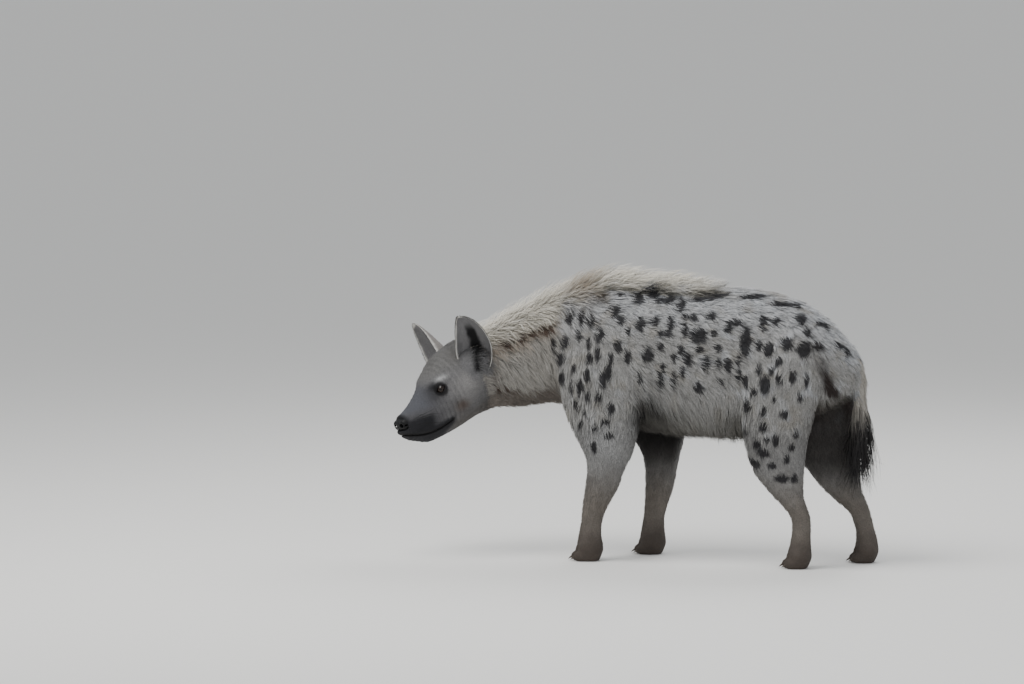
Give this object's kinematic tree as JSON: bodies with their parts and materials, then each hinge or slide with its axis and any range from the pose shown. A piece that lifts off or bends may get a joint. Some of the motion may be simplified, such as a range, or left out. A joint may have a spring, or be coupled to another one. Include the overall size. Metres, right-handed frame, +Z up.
{
  "type": "standing spotted hyena",
  "caption": "Life-size still model of a standing spotted hyena with a sloping back, low head turned to its left, pale mane, spotted coat and black tail tuft.",
  "frame": {"origin": "on the floor under the middle of the whole animal's box", "axes": "+Z up; -Y the way the animal stands facing; +X the animal's left side"},
  "size_m": [0.4318, 1.3694, 0.8438],
  "materials": {
    "coat": "short, dense, matt fur: pale grey-beige with dark brown spots, rough all over",
    "mane": "long, coarse, matt cream hair that stands and leans back",
    "face": "very short grey-brown fur, matt",
    "muzzle": "very short blackish fur over the jaw and lips, slightly glossy at the lips",
    "leg": "short grey-brown fur, matt",
    "tuft": "long, coarse black-brown hair, slightly glossy",
    "nose": "black hairless nose leather with fine grain, damp sheen",
    "eye": "dark brown, opaque, polished",
    "claw": "dark horn, worn, satin"
  },
  "bodies": {
    "root": {"torso": "coat", "neck": "mane", "head": "face", "lower_jaw": "muzzle", "nose": "nose", "eye_left": "eye", "ear_left": "face", "eye_right": "eye", "ear_right": "face", "front_left_upper_arm": "coat", "front_left_forearm": "leg", "front_left_paw": "leg", "front_left_claw_1": "claw", "front_left_claw_2": "claw", "front_left_claw_3": "claw", "front_left_claw_4": "claw", "front_right_upper_arm": "coat", "front_right_forearm": "leg", "front_right_paw": "leg", "front_right_claw_1": "claw", "front_right_claw_2": "claw", "front_right_claw_3": "claw", "front_right_claw_4": "claw", "hind_left_thigh": "coat", "hind_left_shank": "leg", "hind_left_paw": "leg", "hind_left_claw_1": "claw", "hind_left_claw_2": "claw", "hind_left_claw_3": "claw", "hind_left_claw_4": "claw", "hind_right_thigh": "coat", "hind_right_shank": "leg", "hind_right_paw": "leg", "hind_right_claw_1": "claw", "hind_right_claw_2": "claw", "hind_right_claw_3": "claw", "hind_right_claw_4": "claw", "tail": "tuft"}
  },
  "joints": []
}
